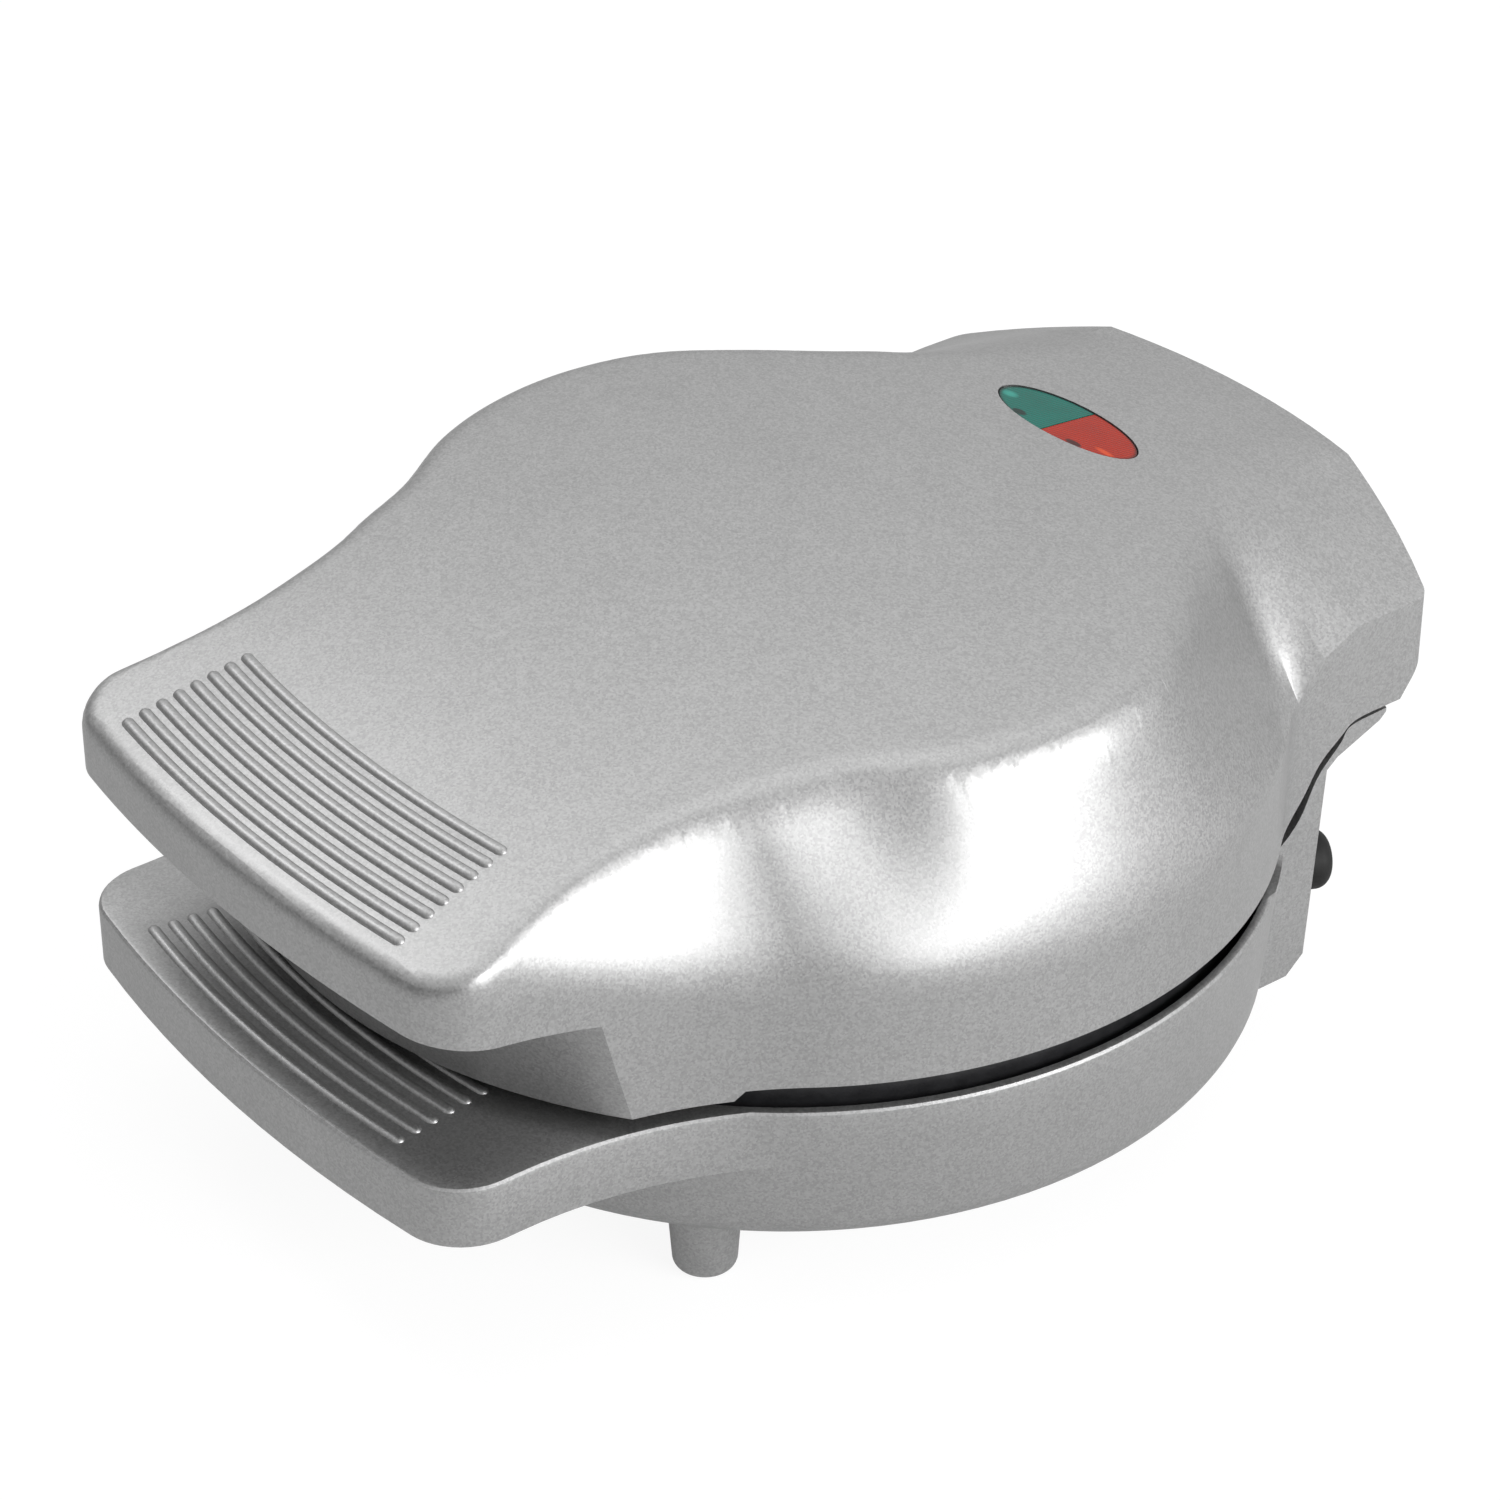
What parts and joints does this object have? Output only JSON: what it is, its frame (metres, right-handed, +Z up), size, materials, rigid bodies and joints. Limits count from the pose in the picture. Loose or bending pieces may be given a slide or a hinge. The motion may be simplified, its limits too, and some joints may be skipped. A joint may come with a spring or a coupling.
{
  "type": "cake pop maker",
  "caption": "Countertop cake pop maker with a hinged lid, facing cup plates, an oval indicator window and ribbed front handles.",
  "frame": {"origin": "middle of the bounding box on the surface that it stands on", "axes": "+Z up, the handles point to -Y, the hinge is at +Y, and X runs across"},
  "size_m": [0.2108, 0.264, 0.122],
  "materials": {
    "housing": "silver metallic paint on moulded plastic",
    "plate": "cast aluminium with a dark non-stick coating",
    "screw": "zinc-plated",
    "heater": "heat-darkened sheath",
    "strap": "pressed sheet",
    "rivet": "plain",
    "shield": "bright sheet",
    "control": "plain",
    "block": "moulded",
    "gland": "moulded",
    "pad": "moulded",
    "pin": "ground",
    "bush": "plain",
    "wire": "heat-resistant sleeve",
    "green_lens": "tinted, ribbed from below",
    "red_lens": "tinted, ribbed from below",
    "holder": "moulded",
    "lamp": "clear"
  },
  "bodies": {
    "base": {"base_housing": "housing", "lower_plate": "plate", "lower_plate_screws": "screw", "lower_heater": "heater", "lower_heater_straps": "strap", "control_straps": "strap", "lower_rivets": "rivet", "lower_heat_shield": "shield", "lower_shield_screw": "screw", "thermostat": "control", "thermal_fuse": "control", "terminal_block": "block", "terminal_block_screw": "screw", "cord_gland": "gland", "cord_clamp": "block", "cord_clamp_screws": "screw", "foot_pads": "pad", "hinge_pins": "pin", "base_wires": "wire"},
    "lid": {"lid_cover": "housing", "upper_plate": "plate", "upper_plate_screws": "screw", "upper_heater": "heater", "upper_heater_straps": "strap", "upper_rivets": "rivet", "upper_heat_shield": "shield", "upper_shield_screw": "screw", "green_lens": "green_lens", "red_lens": "red_lens", "lamp_holder": "holder", "lamp_holder_screws": "screw", "indicator_lamps": "lamp", "hinge_bushes": "bush", "lid_wires": "wire"}
  },
  "joints": [
    {"name": "lid_hinge", "type": "hinge", "parent": "base", "child": "lid", "pos_m": [0, 0.1115, 0.076], "axis": [-1, 0, 0], "range_deg": [0, 92]}
  ]
}
